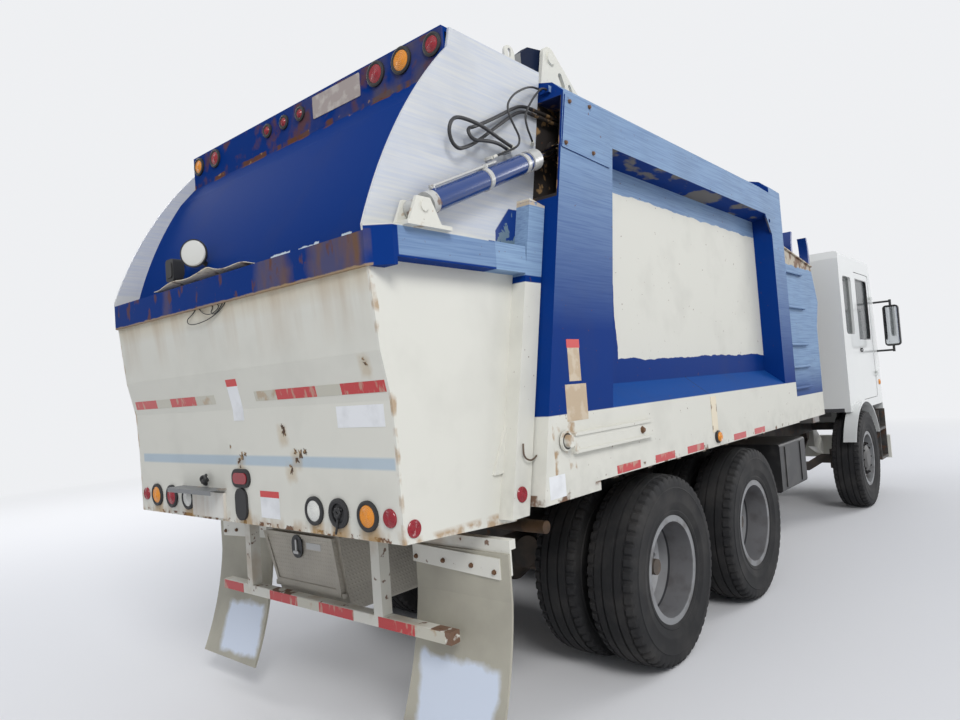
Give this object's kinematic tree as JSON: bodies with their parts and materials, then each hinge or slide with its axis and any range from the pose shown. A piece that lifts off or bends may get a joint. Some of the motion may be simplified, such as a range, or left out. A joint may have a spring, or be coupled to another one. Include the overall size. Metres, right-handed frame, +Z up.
{
  "type": "garbage truck, automated side loader",
  "caption": "Cab-forward refuse truck with side-loading arm, packer, ribbed load body, lifting tailgate on twin cylinders, and steered and driven wheels.",
  "frame": {"origin": "on the ground under the middle of the truck's outer box", "axes": "+X forward along the truck, +Y to its left, +Z up"},
  "size_m": [8.24, 2.84, 3.3418],
  "materials": {
    "frame_black": "worn satin",
    "body_white": "weathered gloss",
    "body_blue": "weathered gloss",
    "axle_iron": "rusty, dusty",
    "bare_aluminium": "brushed",
    "black_plastic": "matte",
    "exhaust_chrome": "heat stained",
    "flap_rubber": "pale, dirty",
    "tread_plate": "raised diamond tread",
    "body_steel": "worn, rusty",
    "lamp_lens": "gloss",
    "cab_liner": "matte",
    "cab_paint": "gloss",
    "window_glass": "tinted",
    "cab_trim": "matte grain",
    "arm_steel": "worn",
    "arm_paint": "worn gloss",
    "tyre_rubber": "dusty",
    "rim_paint": "pale grey, rusty",
    "rod_chrome": "polished",
    "hose_rubber": "matte, dusty"
  },
  "bodies": {
    "chassis": {"frame_rails": "frame_black", "front_bumper": "body_white", "axles": "axle_iron", "engine_block": "axle_iron", "tanks": "bare_aluminium", "battery_box": "black_plastic", "exhaust_stack": "exhaust_chrome", "underride_guard": "body_white", "mud_flaps": "flap_rubber", "toolbox": "tread_plate", "body_floor": "body_steel", "body_sides": "body_blue", "body_roof": "body_blue", "body_rear_frame": "body_blue", "body_front_frame": "body_blue", "hopper_sides": "body_blue", "hopper_floor": "body_steel", "boom_housing": "body_white"},
    "cab": {"cab_floor": "cab_liner", "cab_sides": "cab_paint", "cab_back": "cab_paint", "cab_roof": "cab_paint", "cab_front": "cab_paint", "cab_glass": "window_glass", "cab_interior": "cab_trim", "mirrors": "black_plastic"},
    "door_right": {"door_right": "cab_paint"},
    "door_left": {"door_left": "cab_paint"},
    "knuckle_right": {"knuckle_right": "axle_iron"},
    "wheel_front_right": {"tyre_front_right": "tyre_rubber", "rim_front_right": "rim_paint"},
    "knuckle_left": {"knuckle_left": "axle_iron"},
    "wheel_front_left": {"tyre_front_left": "tyre_rubber", "rim_front_left": "rim_paint"},
    "wheels_mid_right": {"tyres_mid_right": "tyre_rubber", "rims_mid_right": "rim_paint"},
    "wheels_mid_left": {"tyres_mid_left": "tyre_rubber", "rims_mid_left": "rim_paint"},
    "wheels_rear_right": {"tyres_rear_right": "tyre_rubber", "rims_rear_right": "rim_paint"},
    "wheels_rear_left": {"tyres_rear_left": "tyre_rubber", "rims_rear_left": "rim_paint"},
    "packer": {"packer_blade": "body_steel"},
    "tailgate": {"tailgate_sides": "body_white", "tailgate_skin": "body_white", "tailgate_frame": "body_blue", "tailgate_lamps": "lamp_lens", "hose_large_low": "hose_rubber", "hose_large_high": "hose_rubber", "hose_line_long": "hose_rubber", "hose_line_short": "hose_rubber"},
    "lift_barrel_right": {"lift_barrel_right": "body_blue"},
    "lift_rod_right": {"lift_rod_right": "rod_chrome"},
    "lift_barrel_left": {"lift_barrel_left": "body_blue"},
    "lift_rod_left": {"lift_rod_left": "rod_chrome"},
    "boom": {"boom_slide": "arm_steel"},
    "arm": {"lift_arm": "arm_paint"},
    "finger_rear": {"finger_rear": "arm_paint"},
    "finger_front": {"finger_front": "arm_paint"},
    "toolbox_door": {"toolbox_door": "tread_plate"}
  },
  "joints": [
    {"name": "steer_left", "type": "hinge", "parent": "chassis", "child": "knuckle_left", "pos_m": [2.8, 0.85, 0.525], "axis": [0, 0, 1], "range_deg": [-30, 30]},
    {"name": "spin_front_left", "type": "hinge", "parent": "knuckle_left", "child": "wheel_front_left", "pos_m": [2.8, 1.075, 0.525], "axis": [0, 1, 0], "continuous": true},
    {"name": "steer_right", "type": "hinge", "parent": "chassis", "child": "knuckle_right", "pos_m": [2.8, -0.85, 0.525], "axis": [0, 0, 1], "range_deg": [-30, 30]},
    {"name": "spin_front_right", "type": "hinge", "parent": "knuckle_right", "child": "wheel_front_right", "pos_m": [2.8, -1.075, 0.525], "axis": [0, 1, 0], "continuous": true},
    {"name": "spin_mid_left", "type": "hinge", "parent": "chassis", "child": "wheels_mid_left", "pos_m": [-0.81, 0.9, 0.525], "axis": [0, 1, 0], "continuous": true},
    {"name": "spin_mid_right", "type": "hinge", "parent": "chassis", "child": "wheels_mid_right", "pos_m": [-0.81, -0.9, 0.525], "axis": [0, 1, 0], "continuous": true},
    {"name": "spin_rear_left", "type": "hinge", "parent": "chassis", "child": "wheels_rear_left", "pos_m": [-2.13, 0.9, 0.525], "axis": [0, 1, 0], "continuous": true},
    {"name": "spin_rear_right", "type": "hinge", "parent": "chassis", "child": "wheels_rear_right", "pos_m": [-2.13, -0.9, 0.525], "axis": [0, 1, 0], "continuous": true},
    {"name": "cab_tilt", "type": "hinge", "parent": "chassis", "child": "cab", "pos_m": [3.86, 0, 0.9], "axis": [0, 1, 0], "range_deg": [0, 45]},
    {"name": "door_open_left", "type": "hinge", "parent": "cab", "child": "door_left", "pos_m": [3.8, 1.165, 1.8], "axis": [0, 0, -1], "range_deg": [0, 70]},
    {"name": "door_open_right", "type": "hinge", "parent": "cab", "child": "door_right", "pos_m": [3.8, -1.165, 1.8], "axis": [0, 0, 1], "range_deg": [0, 70]},
    {"name": "packer_stroke", "type": "slide", "parent": "chassis", "child": "packer", "axis": [-1, 0, 0], "range_m": [0, 1.3]},
    {"name": "tailgate_lift", "type": "hinge", "parent": "chassis", "child": "tailgate", "pos_m": [-2.76, 0, 3.28], "axis": [0, 1, 0], "range_deg": [0, 80]},
    {"name": "lift_swing_left", "type": "hinge", "parent": "tailgate", "child": "lift_barrel_left", "pos_m": [-3.904, 1.135, 2.306], "axis": [0, 1, 0], "range_deg": [-2.59, 1]},
    {"name": "lift_stroke_left", "type": "slide", "parent": "lift_barrel_left", "child": "lift_rod_left", "axis": [0.9155, 0, 0.4024], "range_m": [0, 0.6844]},
    {"name": "lift_swing_right", "type": "hinge", "parent": "tailgate", "child": "lift_barrel_right", "pos_m": [-3.904, -1.135, 2.306], "axis": [0, 1, 0], "range_deg": [-2.59, 1]},
    {"name": "lift_stroke_right", "type": "slide", "parent": "lift_barrel_right", "child": "lift_rod_right", "axis": [0.9155, 0, 0.4024], "range_m": [0, 0.6844]},
    {"name": "arm_reach", "type": "slide", "parent": "chassis", "child": "boom", "axis": [0, -1, 0], "range_m": [0, 0.9]},
    {"name": "arm_swing", "type": "hinge", "parent": "boom", "child": "arm", "pos_m": [1.6, -0.96, 1.33], "axis": [1, 0, 0], "range_deg": [0, 120]},
    {"name": "finger_close_front", "type": "hinge", "parent": "arm", "child": "finger_front", "pos_m": [1.75, -0.96, 2.4], "axis": [0, -1, 0], "range_deg": [0, 25]},
    {"name": "finger_close_rear", "type": "hinge", "parent": "arm", "child": "finger_rear", "pos_m": [1.45, -0.96, 2.4], "axis": [0, 1, 0], "range_deg": [0, 25]},
    {"name": "toolbox_open", "type": "hinge", "parent": "chassis", "child": "toolbox_door", "pos_m": [-3.5735, 0.15, 0.622], "axis": [0, -1, 0], "range_deg": [0, 80]}
  ],
  "couplings": [
    {"joint": "steer_right", "follows": "steer_left", "ratio": 1},
    {"joint": "finger_close_rear", "follows": "finger_close_front", "ratio": 1},
    {"joint": "lift_swing_left", "follows": "tailgate_lift", "ratio": -0.019921},
    {"joint": "lift_stroke_left", "follows": "tailgate_lift", "m_per_rad": 0.48873},
    {"joint": "lift_swing_right", "follows": "tailgate_lift", "ratio": -0.019921},
    {"joint": "lift_stroke_right", "follows": "tailgate_lift", "m_per_rad": 0.48873}
  ]
}
